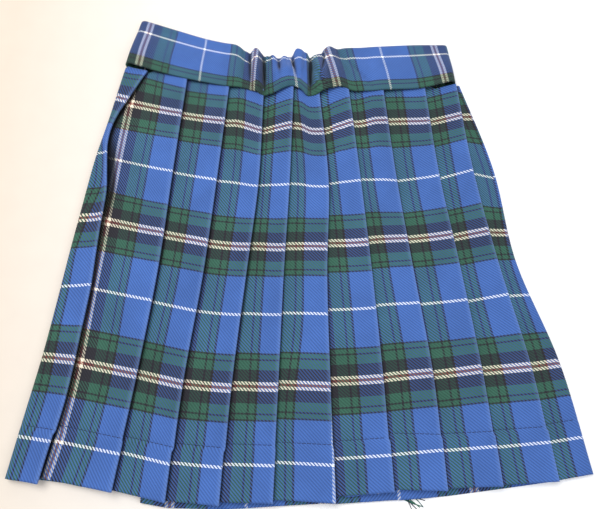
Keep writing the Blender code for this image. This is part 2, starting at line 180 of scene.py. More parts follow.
GATHERS = (
    Gather(-53.0, -51.0, 9.0, 6.0, (1.0, 1.4, 0.8)),
    Gather(-45.5, -44.0, 4.5, 4.0, (-1.0, -0.8, -0.3)),
    Gather(-41.0, -38.5, 3.2, 3.2, (-1.6, -2.6, -2.6, -1.2, 0.0)),
    Gather(-35.8, -33.4, 6.0, 5.0, (4.2, 5.4, 5.6, 4.4, 2.6)),
    Gather(-29.0, -27.6, 3.6, 2.8, (-1.8, -5.6, -6.6, -3.6, -0.4)),
    Gather(-14.0, -11.0, 14.0, 15.0, (0.4, 4.0, 6.2, 5.0, 2.2)),
    Gather(-22.0, -20.0, 3.4, 3.4, (2.2, 1.4, 0.6, 0.0, 0.0)),
    Gather(-17.5, -14.0, 3.4, 2.8, (-1.6, -4.4, -1.6, 0.0, 0.0)),
    Gather(-12.5, -12.0, 3.4, 3.4, (2.0, 1.2, 0.4, 0.0, 0.0)),
    Gather(-7.0, -2.0, 2.6, 2.6, (-1.0, -4.6, -3.0, -0.6, 0.0)),
    Gather(-0.8, 0.8, 4.5, 6.5, (3.2, 3.4, 2.6, 1.6, 1.0)),
    Gather(8.6, 7.6, 3.0, 4.6, (-2.2, -5.8, -6.4, -3.4, -0.3)),
    Gather(12.6, 17.5, 6.0, 10.0, (1.8, 5.0, 6.6, 5.2, 2.6)),
    Gather(8.0, 19.5, 2.2, 2.2, (0.0, -1.2, -3.4, -2.6, 0.0)),
    Gather(20.5, 14.0, 2.2, 2.2, (-1.0, -3.0, -1.8, 0.0, 0.0)),
    Gather(22.6, 30.2, 5.0, 8.0, (3.4, 3.2, 2.8, 2.0, 1.2)),
    Gather(29.0, 60.0, 4.0, 5.0, (0.0, -0.6, -1.6, -1.4, 0.0)),
    Gather(31.0, 40.0, 5.0, 6.0, (-0.8, -0.4, 0.2)),
    Gather(40.0, 49.0, 9.0, 11.0, (0.6, 1.0, 0.6)),
    Gather(59.0, 62.0, 10.0, 12.0, (0.2, 0.5, 0.4)),
)

# How far down the band its white line lies. It is close under the edge where the gathers roll it.
WHITE_SHARES = (
    (-55.0, -43.0, -35.5, -30.3, -24.0, -15.5, -8.0, -3.0, 1.7, 5.6, 7.4, 11.5, 17.5, 20.2, 24.5, 32.0),
    (0.25, 0.267, 0.227, 0.125, 0.085, 0.07, 0.09, 0.26, 0.22, 0.15, 0.065, 0.045, 0.07, 0.215, 0.24, 0.25),
)


def gathered(x: float, share: float) -> float:
    """How far the gathers lift the waistband at x, a share of the way down it."""
    return sum(gather.at(x, share) for gather in GATHERS)


# How far to each side a crease is compared with the cloth beside it, and how deep a tight one is: they set
# the painted shade in the creases.
CREASE_REACH, CREASE_DEPTH = 3.2, 4.5


def creased(x: float, share: float) -> float:
    """How deep the waistband lies between its ridges at x, from 0 to 1 in a tight crease, for its painted
    shade.
    """
    beside = (gathered(x - CREASE_REACH, share) + gathered(x + CREASE_REACH, share)) / 2.0
    return clamp((beside - gathered(x, share)) / CREASE_DEPTH)


# Where each fold of a pleat falls in the check, from waist to hem: 0 is a maroon line, 0.5 a white one.
FOLD_SETT = (
    (0.43, 0.39, 0.3, 0.285, 0.35, 0.4, 0.405, 0.4, 0.39, 0.38, 0.375),
    (0.43, 0.43, 0.437, 0.44, 0.446, 0.444, 0.438, 0.422, 0.413, 0.418, 0.447),
    (0.415, 0.415),
    (0.385, 0.385),
    (0.385, 0.385),
    (0.42, 0.42, 0.42, 0.42, 0.49, 0.515),
    (0.415, 0.415),
    (0.415, 0.415),
    (0.425, 0.425),
    (0.38, 0.38, 0.405, 0.435, 0.447, 0.445),
)
# Where the right side's edge falls in the check, from waist to hem.
SIDE_SETT = (0.27, 0.27, 0.275, 0.305, 0.35, 0.36)
# How far the check steps up at each fold, and how far its edge jogs at the hem's stitches.
FOLD_STEP = (3.0, 0.8, 0.7, 1.7, 1.8, 3.6, 1.2, 1.2, 0.5, 0.3)
FOLD_JOG = (-1.0, 0.7, -1.1, -0.9, 0.4, 0.5, 0.9, 0.8, 1.0, 0.9)
# How far each fold's edge stands off the next pleat, from waist to hem.
FOLD_LIFT = (
    (0.8, 3.6, 6.0, 4.6, 2.8, 2.8, 2.6, 2.6, 2.6),
    (1.0, 1.8, 1.4),
    (1.0, 1.6, 1.6),
    (1.3, 1.6, 1.4),
    (0.9, 1.2, 1.2),
    (0.6, 1.1, 1.3),
    (0.9, 1.0, 1.0),
    (0.8, 1.0, 1.2),
    (0.8, 1.1, 1.4),
    (0.5, 1.0, 1.1),
)
STRIP_RISE = (2.5, 3.6, 5.2, 7.0, 5.8, 4.9, 4.4, 4.1, 4.0, 3.9, 3.6, 2.6, 1.2)
STRIP_CLIMB = (1.5, 1.8, 3.2, 6.1, 5.2, 4.8, 4.8, 4.9, 2.6, 1.0, 0.2, 0.0, 0.0)
# How much higher the check lies at the left and right end of some pleats, at its six rows of lines.
# The eleventh is the right side. The rows are even steps between two shares of the way down.
PLEAT_CLIMB = {
    1: ((3.4, 3.7, 2.6, 1.6, 0.6, 0.0), (0.0, 0.3, 1.1, 1.2, 0.6, 0.1)),
    7: ((0.0, 1.1, 1.1, 1.1, -0.5, -1.4), (0.0, -0.9, 2.9, 3.5, 3.6, 2.6)),
    8: ((0.0, -1.1, 1.5, 1.6, 1.0, 0.7), (0.0, 1.7, 2.9, 2.8, 3.4, 2.1)),
    9: ((0.0, -0.4, 0.6, 1.4, 1.4, 0.7), (0.0, 2.7, 2.8, 3.8, 1.9, 1.8)),
    10: ((0.0, 0.6, 2.2, 2.7, 1.4, 1.1), (0.0, -4.2, 0.4, 1.6, 1.4, 0.9)),
}
NO_CLIMB = ((0.0, 0.0), (0.0, 0.0))
FIRST_ROW, LAST_ROW = 0.096, 0.924
# How much lower than the seam's own curve the check lies at the waist, by X, and where that ends.
ROW_DROP = (
    (-60.0, -48.0, -31.0, -22.0, -7.0, 0.0, 5.0, 11.0, 19.5, 30.0, 41.0, 56.0, 75.0, 95.0),
    (1.2, 1.4, 2.6, 2.0, 4.4, 3.2, 2.4, 3.8, 5.6, 4.4, 0.4, -3.2, -1.4, 0.0),
)
ROW_DROP_END = 0.4
# Where the hem's stitches lie on each pleat, as a share of the way down.
STITCH_LINES = (0.892, 0.892, 0.89, 0.884, 0.882, 0.882, 0.887, 0.882, 0.885, 0.885, 0.882)


# Small sums


def blend(low: float, high: float, share: float) -> float:
    """The value a share of the way from low to high."""
    return low + (high - low) * share


def clamp(share: float) -> float:
    """A share held between 0 and 1."""
    return min(max(share, 0.0), 1.0)


def read(x: float, table: tuple) -> float:
    """The value at x of a table of X and values, in straight lines between them."""
    return float(np.interp(x, *table))


def ease(share: float) -> float:
    """A share held between 0 and 1, started and ended gently."""
    share = clamp(share)
    return share * share * (3.0 - 2.0 * share)


def bump(distance: float, half_width: float) -> float:
    """1 in the middle of a soft ridge, and 0 from half its width on."""
    if abs(distance) >= half_width:
        return 0.0
    return 0.5 * (1.0 + math.cos(math.pi * distance / half_width))


def along(values: tuple[float, ...], share: float) -> float:
    """A smooth curve through evenly spaced values.

    Args:
        values: The values that the curve passes through.
        share: How far along the curve to read it, from 0 to 1.

    Returns:
        The curve's value there.
    """
    last = len(values) - 1
    place = clamp(share) * last
    k = min(int(place), last - 1)
    t = place - k
    here, after = values[k], values[k + 1]
    before = values[k - 1] if k > 0 else 2.0 * here - after
    later = values[k + 2] if k + 2 <= last else 2.0 * after - here
    slope = (after - before) * t
    bend = (2.0 * before - 5.0 * here + 4.0 * after - later) * t * t
    twist = (3.0 * here - before - 3.0 * after + later) * t**3
    return here + 0.5 * (slope + bend + twist)


def climbed(i: int, down: float, share: float) -> float:
    """How much higher the check lies on pleat i, a share of the way across what shows of it."""
    left, right = PLEAT_CLIMB.get(i, NO_CLIMB)
    row = (down - FIRST_ROW) / (LAST_ROW - FIRST_ROW)
    return blend(along(left, row), along(right, row), share)


def slipped(i: int, share: float) -> float:
    """How far pleat i's check is moved up, a share of the way across what shows of it."""
    left = FOLD_STEP[i - 1] / 2.0 if i > 0 else 0.0
    right = -FOLD_STEP[i] / 2.0 if i < len(FOLD_STEP) else 0.0
    return blend(left, right, share)


def spread(start: float, end: float, steps: int) -> list[float]:
    """Even steps from start to end, both included."""
    return [blend(start, end, k / steps) for k in range(steps + 1)]


def half_turn(x: float, low: float, high: float, reach: float, steps: int) -> list[tuple[float, float]]:
    """Points of a half turn between two heights.

    Args:
        x: Where the turn starts and ends.
        low: The lower layer's height.
        high: The upper layer's height.
        reach: How far the turn bulges to the right, or to the left where it is negative.
        steps: How many steps the turn has.

    Returns:
        X and height of each point from the lower to the upper layer, without both ends.
    """
    middle, radius = (low + high) / 2.0, (high - low) / 2.0
    angles = [math.pi * k / steps for k in range(1, steps)]
    return [(x + reach * math.sin(a), middle - radius * math.cos(a)) for a in angles]


def band_point(across: float, share: float) -> tuple[float, float]:
    """X and Y on the waistband: across it from the left, and down it from its top edge."""
    top_x, top_y, low_x, low_y = (along(column, across) for column in zip(*BAND))
    return blend(top_x, low_x, share), blend(top_y, low_y, share)


LOW_EDGE = np.array([band_point(across, 1.0) for across in spread(0.0, 1.0, 160)]).T


def back_seam(x: float) -> float:
    """Y of the pleats' waist seam at x, just below the waistband's lower edge."""
    return read(x, LOW_EDGE) - SEAM_GAP


# The same seam without its scallops: its mean over 24 mm to each side, at points 5 mm apart.
SMOOTH_X = np.linspace(-150.0, 140.0, 59)
SMOOTH_Y = [np.mean([back_seam(x + d) for d in range(-24, 25, 3)]) for x in SMOOTH_X]
SMOOTH_SEAM = np.array([SMOOTH_X, SMOOTH_Y])


def front_seam(x: float) -> float:
    """Y of the front's waist seam at x, a shallow curve."""
    middle, slope, curve = FRONT_SEAM
    return middle + slope * x + curve * x * x


# Finishes


def linear(code: str) -> tuple[float, float, float, float]:
    """A colour given as sRGB hex, as linear light."""
    shares = [int(code[k : k + 2], 16) / 255.0 for k in (1, 3, 5)]
    light = [s / 12.92 if s <= 0.04045 else ((s + 0.055) / 1.055) ** 2.4 for s in shares]
    return light[0], light[1], light[2], 1.0


def plug(tree: NodeTree, target: Node, links: dict) -> None:
    """Fills a node's inputs, each with a constant, a socket, or a node whose first output it is."""
    for name, value in links.items():
        if isinstance(value, Node):
            value = value.outputs[0]
        if isinstance(value, NodeSocket):
            tree.links.new(value, target.inputs[name])
        else:
            target.inputs[name].default_value = value


def node(tree: NodeTree, kind: str, links: Optional[dict] = None, **settings: Any) -> Node:
    """Adds a node.

    Args:
        tree: The node tree that it goes into.
        kind: The node's type.
        links: What its inputs take, as plug() reads it.
        settings: Properties of the node itself.

    Returns:
        The new node.
    """
    made = tree.nodes.new(kind)
    for name, value in settings.items():
        setattr(made, name, value)
    plug(tree, made, links or {})
    return made


def math_node(tree: NodeTree, operation: str, *values: Any) -> Node:
    """Adds a math operation on its values, such as MULTIPLY."""
    return node(tree, "ShaderNodeMath", dict(enumerate(values)), operation=operation)


def range_node(tree: NodeTree, value: Any, *ends: float) -> Node:
    """Adds a change of range, from the value's own two ends to two others."""
    return node(tree, "ShaderNodeMapRange", dict(enumerate((value, *ends))))


def mix_node(tree: NodeTree, share: Any, first: Any, second: Any, **settings: Any) -> NodeSocket:
    """Adds a mix of two colours, all the second one where the share is 1."""
    links = {0: share, 6: first, 7: second}
    return node(tree, "ShaderNodeMix", links, data_type="RGBA", **settings).outputs[2]


def shade_node(tree: NodeTree, color: Any, shade: Node) -> Node:
    """Adds a colour made darker or paler."""
    return node(tree, "ShaderNodeVectorMath", {0: color, "Scale": shade}, operation="SCALE")


def object_place(tree: NodeTree) -> NodeSocket:
    """Adds the place on the object, in metres."""
    return node(tree, "ShaderNodeTexCoord").outputs["Object"]


def twist_node(tree: NodeTree, ply_mm: float, distortion: float = 0.0) -> NodeSocket:
    """Adds the fine twist of a yarn, as slanting bands."""
    scale = 1.0 / (ply_mm * MM) / (2.0 * math.pi)
    links = {"Vector": object_place(tree), "Scale": scale, "Distortion": distortion}
    return node(tree, "ShaderNodeTexWave", links, bands_direction="DIAGONAL").outputs["Fac"]


def new_material(name: str) -> tuple[Material, NodeTree, Node]:
    """An empty material, with its tree and its Principled shader linked to the output."""
    material = bpy.data.materials.new(name)
    material.use_nodes = True
    tree = material.node_tree
    tree.nodes.clear()
    shader = node(tree, "ShaderNodeBsdfPrincipled")
    node(tree, "ShaderNodeOutputMaterial", {"Surface": shader})
    return material, tree, shader


@dataclass(frozen=True)
class Yarn:
    """A run of threads of one colour, up to a thread counted from the maroon line's middle."""

    color: str
    last_thread: float


MAROON, CREAM, BLACK, GREEN, BLUE, WHITE = "#86453C", "#F4E8CC", "#232228", "#2F5747", "#3D5F9F", "#F6F9FF"


@dataclass(frozen=True)
class TartanTwill:
    """Polyviscose 2/2 twill woven in tartan, smoothed with an iron.

    The threads are dyed before weaving, so a colour shows at full strength only where it crosses
    itself. Elsewhere two colours mix in fine diagonals, and the darker one is mixed in further, partly
    as the darker yarn seen through the paler one and partly as painted shade in the gaps between
    floats. The eye sees a matt cloth with a little sheen. A painted highlight makes it paler along
    the fold edges, and painted shade makes it darker deep in creases and beside lifted fold edges. A
    repeat of the check has 190 threads and is 100 mm wide, so a thread is 0.53 mm and a diagonal
    2.1 mm. The diagonals are drawn 2.4 mm wide, because finer ones don't show in the render. A float
    that lies over the others catches more light than one between them, which is drawn stronger than
    it is for the same reason.
    """

    name: str = "polyviscose_tartan_twill"
    threads: float = 190.0
    drawn_threads: float = 166.0
    float_length: float = 2.0
    warp: tuple[Yarn, ...] = (
        Yarn(MAROON, 1.5),
        Yarn(CREAM, 5.7),
        Yarn(BLACK, 20.0),
        Yarn(GREEN, 34.5),
        Yarn(BLACK, 37.0),
        Yarn(GREEN, 44.0),
        Yarn(BLACK, 46.8),
        Yarn(BLUE, 92.8),
        Yarn(WHITE, 95.0),
    )
    weft: tuple[Yarn, ...] = (
        Yarn(MAROON, 1.5),
        Yarn(CREAM, 5.7),
        Yarn(BLACK, 21.0),
        Yarn(GREEN, 32.8),
        Yarn(BLACK, 35.2),
        Yarn(GREEN, 40.7),
        Yarn(BLACK, 43.0),
        Yarn(BLUE, 92.8),
        Yarn(WHITE, 95.0),
    )
    # Colour of the painted highlight along the fold edges.
    highlight_color: str = "#86A6E0"
    weft_shade: float = 1.24
    warp_shade: float = 0.8
    # How far the darker colour is mixed in, partly the darker yarn seen through and partly painted shade
    # between floats; and how dark the painted shade is deep in a crease.
    show_through_and_shade: float = 0.38
    crease_shade: float = 0.1
    mottle_scale: float = 38.0
    mottle: tuple[float, float] = (0.9, 1.1)
    roughness: float = 0.78
    sheen: float = 0.12
    sheen_roughness: float = 0.45
    ior: float = 1.45
    gloss: float = 0.3
    rib_mm: float = 0.16
    thread_mm: float = 0.08
    relief: float = 0.8

    def color_by_thread(self, tree: NodeTree, place: NodeSocket, yarns: tuple[Yarn, ...]) -> Node:
        """The dyed colour of a thread.

        Args:
            tree: The material's node tree.
            place: The thread's place in the cloth, in repeats of the check.
            yarns: The order of the yarns from the maroon line to the white one.

        Returns:
            The node that gives the colour.
        """
        folded = math_node(tree, "PINGPONG", place, 0.5)
        share = math_node(tree, "MULTIPLY", folded, 2.0)
        ramp = node(tree, "ShaderNodeValToRGB", {0: share})
        ramp.color_ramp.interpolation = "CONSTANT"
        stops = ramp.color_ramp.elements
        start = 0.0
        for k, yarn in enumerate(yarns):
            stop = stops[k] if k < 2 else stops.new(start)
            stop.position = start
            stop.color = linear(yarn.color)
            start = yarn.last_thread / (self.threads / 2.0)
        return ramp

    def make(self) -> Material:
        """Builds the material on the piece's own weave map, in repeats across and down."""
        material, tree, shader = new_material(self.name)
        split = node(tree, "ShaderNodeSeparateXYZ", {0: node(tree, "ShaderNodeUVMap", uv_map="weave")})
        across, down = split.outputs[0], split.outputs[1]
        warp = math_node(tree, "MULTIPLY", across, self.drawn_threads)
        weft = math_node(tree, "MULTIPLY", down, self.drawn_threads)
        step = math_node(tree, "ADD", *(math_node(tree, "FLOOR", thread) for thread in (warp, weft)))
        phase = math_node(tree, "FLOORED_MODULO", step, 2.0 * self.float_length)
        on_top = math_node(tree, "LESS_THAN", phase, self.float_length - 0.5)
        warp_color = self.color_by_thread(tree, across, self.warp)
        weft_color = self.color_by_thread(tree, down, self.weft)
        upper = mix_node(tree, on_top, weft_color, warp_color)
        lower = mix_node(tree, on_top, warp_color, weft_color)
        # The darker colour mixed in: partly the darker yarn seen through the paler one, partly painted shade
        # in the gaps between floats.
        woven = mix_node(tree, self.show_through_and_shade, upper, lower, blend_type="DARKEN")
        links = {"Vector": object_place(tree), "Scale": self.mottle_scale, "Detail": 3.0}
        mottle = range_node(tree, node(tree, "ShaderNodeTexNoise", links), 0.3, 0.7, *self.mottle)
        lit = range_node(tree, on_top, 0.0, 1.0, self.weft_shade, self.warp_shade)
        # Painted light on the cloth: a painted highlight where this attribute is above 0, on fold edges, and
        # painted shade where it is below 0, in creases and beside lifted fold edges.
        painted_light = node(tree, "ShaderNodeAttribute", attribute_name="painted_light").outputs["Fac"]
        crease = range_node(tree, painted_light, -1.0, 0.0, self.crease_shade, 1.0)
        shade = math_node(tree, "MULTIPLY", math_node(tree, "MULTIPLY", mottle, lit), crease)
        shade_and_highlight = mix_node(tree, painted_light, shade_node(tree, woven, shade), linear(self.highlight_color))
        slant = math_node(tree, "ADD", warp, weft)
        rib = math_node(tree, "SINE", math_node(tree, "MULTIPLY", slant, math.pi / self.float_length))
        rib_height = math_node(tree, "MULTIPLY_ADD", rib, 0.5, 0.5)
        fine = math_node(tree, "PINGPONG", warp, 0.5)
        height = math_node(tree, "MULTIPLY_ADD", fine, self.thread_mm / self.rib_mm, rib_height)
        links = {"Height": height, "Distance": self.rib_mm * MM, "Strength": self.relief}
        links = {
            "Base Color": shade_and_highlight,
            "Normal": node(tree, "ShaderNodeBump", links),
            "Roughness": self.roughness,
            "Sheen Weight": self.sheen,
            "Sheen Roughness": self.sheen_roughness,
            "IOR": self.ior,
            "Specular IOR Level": self.gloss,
        }
        plug(tree, shader, links)
        return material


@dataclass(frozen=True)
class LooseYarn:
    """Yarn ends pulled out of the cloth: dull, a little hairy, each in its thread's colour."""

    name: str = "frayed_wool_mix_yarn"
    roughness: float = 0.9
    ply_mm: float = 0.8
    relief_mm: float = 0.1
    shades: tuple[float, float] = (0.75, 1.15)

    def make(self) -> Material:
        """Builds the material on each yarn's own colour, with a fine twist along it."""
        material, tree, shader = new_material(self.name)
        dyed = node(tree, "ShaderNodeAttribute", attribute_name="dye").outputs["Color"]
        twist = twist_node(tree, self.ply_mm, 1.0)
        shaded = shade_node(tree, dyed, range_node(tree, twist, 0.0, 1.0, *self.shades))
        relief = node(tree, "ShaderNodeBump", {"Height": twist, "Distance": self.relief_mm * MM})
        plug(tree, shader, {"Base Color": shaded, "Normal": relief, "Roughness": self.roughness})
        return material


@dataclass(frozen=True)
class SewingThread:
    """Spun polyester sewing thread, dark navy, with a slight shine on its twist."""

    name: str = "polyester_sewing_thread"
    color: str = "#141C36"
    twist_color: str = "#2A3560"
    roughness: float = 0.55
    twist_mm: float = 0.5

    def make(self) -> Material:
        """Builds the material with a fine twist across the thread."""
        material, tree, shader = new_material(self.name)
        twist = twist_node(tree, self.twist_mm)
        mixed = mix_node(tree, twist, linear(self.color), linear(self.twist_color))
        plug(tree, shader, {"Base Color": mixed, "Roughness": self.roughness})
        return material


@dataclass(frozen=True)
class PaleFloor:
    """A plain pale floor in matt paint, with the faintest mottle. It is drawn darker and warmer on the left,
    as painted shade with a warm cast.
    """

    name: str = "matt_painted_floor"
    # The left colour is darker and warmer: painted shade with a warm cast, fading out towards the right.
    left: str = "#D7C9B7"
    right: str = "#F8F7F5"
    left_m: float = -0.24
    right_m: float = 0.06
    mottle_scale: float = 60.0
    shades: tuple[float, float] = (0.97, 1.03)
    roughness: float = 0.95

    def make(self) -> Material:
        """Builds the floor's material."""
        material, tree, shader = new_material(self.name)
        place = object_place(tree)
        across = node(tree, "ShaderNodeSeparateXYZ", {0: place})
        share = range_node(tree, across, self.left_m, self.right_m, 0.0, 1.0)
        mixed = mix_node(tree, share, linear(self.left), linear(self.right))
        links = {"Vector": place, "Scale": self.mottle_scale, "Detail": 6.0}
        shade = range_node(tree, node(tree, "ShaderNodeTexNoise", links), 0.0, 1.0, *self.shades)
        plug(tree, shader, {"Base Color": shade_node(tree, mixed, shade), "Roughness": self.roughness})
        return material


# Cloth


@dataclass
class Stitch:
    """One point of a piece of cloth: its place, its place in the check, and its painted light.

    Where its painted light is 1 it has a painted highlight, palest on a fold edge; at -1 it has painted
    shade, darkest deep in a crease or beside a lifted fold edge.
    """

    x: float
    y: float
    z: float
    u: float
    v: float
    painted_light: float = 0.0


class Held(Enum):
    """How a piece of cloth is held, in the words of its declaration."""

    LAID = "laid"
    FOLDED = "folded"
    GATHERED = "gathered"


# The over apron's left end and the pleats' lowest point, in the tables' own X and Y.
TABLE_LEFT, TABLE_HEM = -191.4, -180.46


def shift() -> Vector:
    """From the tables' own origin to the model's, in millimetres."""
    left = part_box("over_apron")[0].x / MM
    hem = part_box("pleated_back")[0].y / MM
    return Vector((left - TABLE_LEFT, hem - TABLE_HEM, 0.0))


SHIFT = shift()


def add_object(name: str, bm: bmesh.types.BMesh, finish: Material) -> Object:
    """Makes an object of a mesh that is built, and frees what it was built in."""
    mesh = bpy.data.meshes.new(name)
    bm.to_mesh(mesh)
    bm.free()
    mesh.materials.append(finish)
    obj = bpy.data.objects.new(name, mesh)
    bpy.context.scene.collection.objects.link(obj)
    return obj


def add_cloth(name: str, rows: list[list[Stitch]], thickness: float, finish: Material) -> Object:
    """A shell of cloth: a grid laid on rows of points, with its weave map, thickened both ways.

    Args:
        name: The object's name.
        rows: Rows of points, from the top of the piece to its lower edge.
        thickness: The cloth's thickness in millimetres.
        finish: The cloth's material.

    Returns:
        The new object, at the origin.
    """
    last_row, last_column = len(rows) - 1, len(rows[0]) - 1
    bm = bmesh.new()
    bmesh.ops.create_grid(bm, x_segments=last_column, y_segments=last_row, size=0.5)
    weave = bm.loops.layers.uv.new("weave")
    # This layer holds painted light: a painted highlight above 0 and painted shade below 0.
    painted_light = bm.verts.layers.float.new("painted_light")
    uvs = {}
    for vert in bm.verts:
        column = round((vert.co.x + 0.5) * last_column)
        row = round((0.5 - vert.co.y) * last_row)
        point = rows[row][column]
        vert.co = (Vector((point.x, point.y, point.z)) + SHIFT) * MM
        vert[painted_light] = point.painted_light
        uvs[vert] = (point.u, -point.v)
    for face in bm.faces:
        for loop in face.loops:
            loop[weave].uv = uvs[loop.vert]
    obj = add_object(name, bm, finish)
    wall = obj.modifiers.new("wall", "SOLIDIFY")
    wall.thickness = thickness * MM
    wall.offset = 0.0
    return obj


def dress(obj: Object, nodes: Iterable[str]) -> Object:
    """Smooths a piece, rides it on the part's body, and hides the parts that it stands for."""
    obj.data.shade_smooth()
    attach(obj, "root")
    for name in nodes:
        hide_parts(name)
    LOG.info("%s: %d faces", obj.name, len(obj.data.polygons))
    return obj


@dataclass
class SkirtForm:
    """The skirt's layers as they lie: the levels, folds and heights that its pieces share."""

    cloth: float = 1.0
    pitch: float = 1.35
    most_depth: float = 0.9
    first_depth: float = 0.6
    left_round: float = 3.0
    right_round: float = 2.2
    right_rise: float = 1.5
    over_level: float = 0.5
    fringe_room: float = 16.0
    step_down: float = 9.0
    top_sett: float = -0.29
    setts_down: float = 3.02
    hem_edge: float = 0.012
    hem_dent: float = 0.28
    hem_groove: float = 0.006
    hem_thicker: float = 0.2
    gather_follow: float = 0.6
    gather_reach: float = 0.2
    scallop_end: float = 0.45
    slip_start: float = 0.25
    hidden_start: float = 2.5
    swell: float = 0.35
    swell_waves: tuple[tuple[float, float, float], ...] = ((0.18, 9.0, 1.7), (0.12, 23.0, 2.3))
    # A painted highlight along each fold edge: its strength and width on the pleat, and its strength on the
    # rolled turn from top to underside.
    edge_highlight: float = 0.12
    edge_width: float = 2.0
    turn_highlight: tuple[float, ...] = (0.25, 0.19, 0.13, 0.07)
    turn_sett: float = 0.005
    # Painted shadow beside a fold edge that stands off the next pleat: the lift at which it is darkest, and
    # how far it reaches and fades, as shares of the lift.
    shadow_full_lift: float = 2.5
    shadow_reach: float = 0.85
    shadow_fade: float = 0.25

    @property
    def under_level(self) -> float:
        """Height of the under apron's middle where it lies on the over apron."""
        return self.over_level + self.pitch

    @property
    def pleat_level(self) -> float:
        """Height of the lowest pleat layer's middle where it lies on both aprons."""
        return self.under_level + self.pitch

    def downs(self) -> list[float]:
        """The shares of the way down at which the cloth has rows: fine at the hem's stitches."""
        first, last = min(STITCH_LINES) - 0.008, max(STITCH_LINES) + 0.012
        rows = spread(0.0, 0.18, 24) + spread(0.18, first, 58)[1:]
        return rows + spread(first, last, 16)[1:] + spread(last, 0.99, 10)[1:] + [0.995, 1.0]


class Section:
    """Where the folds and layers lie across the skirt, at one share of the way down."""

    def __init__(self, form: SkirtForm, down: float) -> None:
        """Works out the folds' places at that level."""
        self.form, self.down = form, down
        self.hem = [ease((down - line) / form.hem_edge) for line in STITCH_LINES]
        jogs = [0.0] + [jog * hem for jog, hem in zip(FOLD_JOG, self.hem)] + [0.0]
        self.edge_x = [along(edge.x, down) + jog for edge, jog in zip(EDGES, jogs)]
        self.left, self.right = self.edge_x[0], self.edge_x[-1]
        self.fold = self.edge_x[1:-1]
        self.inner = [self.fold[0] - form.first_depth * (self.fold[0] - self.left)]
        for before, here in zip(self.fold, self.fold[1:]):
            shows = here - before
            self.inner.append(here - min(form.most_depth * shows, (SETT - shows) / 2.0))
        self.over_edge = blend(*OVER_EDGE, down)
        self.under_edge = blend(*UNDER_EDGE, down)
        self.waist_x = [edge.x[0] for edge in EDGES]
        self.hem_y = [edge.hem_y for edge in EDGES]
        self.lift = [along(lifts, down) for lifts in FOLD_LIFT] + [0.0]
        self.sett_at = [along(setts, down) for setts in FOLD_SETT]

    def at_waist(self, x: float) -> float:
        """X at the waist of what lies at x here."""
        return read(x, (self.edge_x, self.waist_x))

    def at_hem(self, x: float) -> float:
        """Y at the hem of what lies at x here."""
        return read(x, (self.edge_x, self.hem_y))

    def y(self, x: float) -> float:
        """Y of the pleated back at x: the seam's scallops fade out on the way down."""
        waist_x = self.at_waist(x)
        even = read(waist_x, SMOOTH_SEAM)
        waved = back_seam(waist_x) - even
        waist_y = even + waved * (1.0 - ease(self.down / self.form.scallop_end))
        return blend(waist_y, self.at_hem(x), self.down)

    def apron_y(self, x: float, drops: tuple) -> float:
        """Y of an apron at x: its hem hangs a little lower than the pleats' hem."""
        waist_y = front_seam(self.at_waist(x))
        return blend(waist_y, self.at_hem(x), self.down) - read(x, drops) * self.down**2

    def under_level(self, x: float) -> float:
        """Height of the under apron's middle: on the over apron and its fringe, then on the floor."""
        step = (x - self.over_edge - self.form.fringe_room) / self.form.step_down
        return blend(self.form.under_level, self.form.over_level, clamp(step))

    def ground(self, x: float) -> float:
        """Height of the middle of the lowest layer of the pleats."""
        form = self.form
        start = self.over_edge + form.fringe_room
        end = self.right - 4.0 * form.right_round
        sunk = clamp((x - start) / (end - start)) * form.pitch
        raised = 0.0
        for ridge in SKIRT_RIDGES:
            if self.down < ridge.reach:
                middle = blend(ridge.top_x, ridge.low_x, self.down / ridge.reach)
                fade = 1.0 - ease(self.down / ridge.reach)
                raised += ridge.height * fade * bump(x - middle, ridge.half_width)
        if self.down < form.gather_reach:
            fade = (1.0 - self.down / form.gather_reach) ** 2
            raised += form.gather_follow * fade * max(gathered(self.at_waist(x), 1.0), 0.0)
        return form.pleat_level - sunk + raised

    def face(self, i: int, x: float) -> float:
        """Height of pleat i's upper layer above the ground. The last one is the right side's."""
        pitch = self.form.pitch
        if i == len(self.fold):
            share = (x - self.inner[-1]) / (self.fold[-1] - self.inner[-1])
            return self.form.right_rise * min(share, 1.0)
        inner = self.inner[i]
        if x <= inner:
            if i == 0:
                return 2.0 * pitch
            return 2.0 * pitch * (x - self.inner[i - 1]) / (inner - self.inner[i - 1])
        share = (x - inner) / (self.fold[i] - inner)
        return 2.0 * pitch + self.rise(i) * share + self.lift[i] * share**3

    def underfold(self, i: int, x: float) -> float:
        """Height of the middle of pleat i's hidden layer."""
        share = (x - self.inner[i]) / (self.fold[i] - self.inner[i])
        return self.ground(x) + (self.form.pitch + self.rise(i) * share + self.lift[i] * share**3)

    def rise(self, i: int) -> float:
        """How much pleat i climbs from its inner fold to its outer fold, onto the next pleat."""
        return self.face(i + 1, self.fold[i])

    def shown_share(self, i: int, x: float) -> float:
        """How far across what shows of pleat i x lies, from 0 to 1."""
        before, after = self.edge_x[i], self.edge_x[i + 1]
        return clamp((x - before) / (after - before))

    def crown(self, i: int, x: float) -> float:
        """How much the part of pleat i that shows swells between two folds. The right side doesn't."""
        share = self.shown_share(i, x)
        if i == len(self.fold) or not 0.0 < share < 1.0:
            return 0.0
        form = self.form
        waves = [high * math.sin(turns * self.down + apart * i) for high, turns, apart in form.swell_waves]
        return (form.swell + sum(waves)) * math.sin(math.pi * share)

    def dent(self, i: int) -> float:
        """How much pleat i's doubled hem stands up here, and its line of stitches sinks in."""
        form = self.form
        groove = bump(self.down - STITCH_LINES[i], form.hem_groove)
        return form.hem_thicker * self.hem[i] - form.hem_dent * groove

    def top(self, i: int, x: float) -> float:
        """Height of the middle of pleat i's upper layer."""
        return self.ground(x) + self.face(i, x) + self.crown(i, x) + self.dent(i)

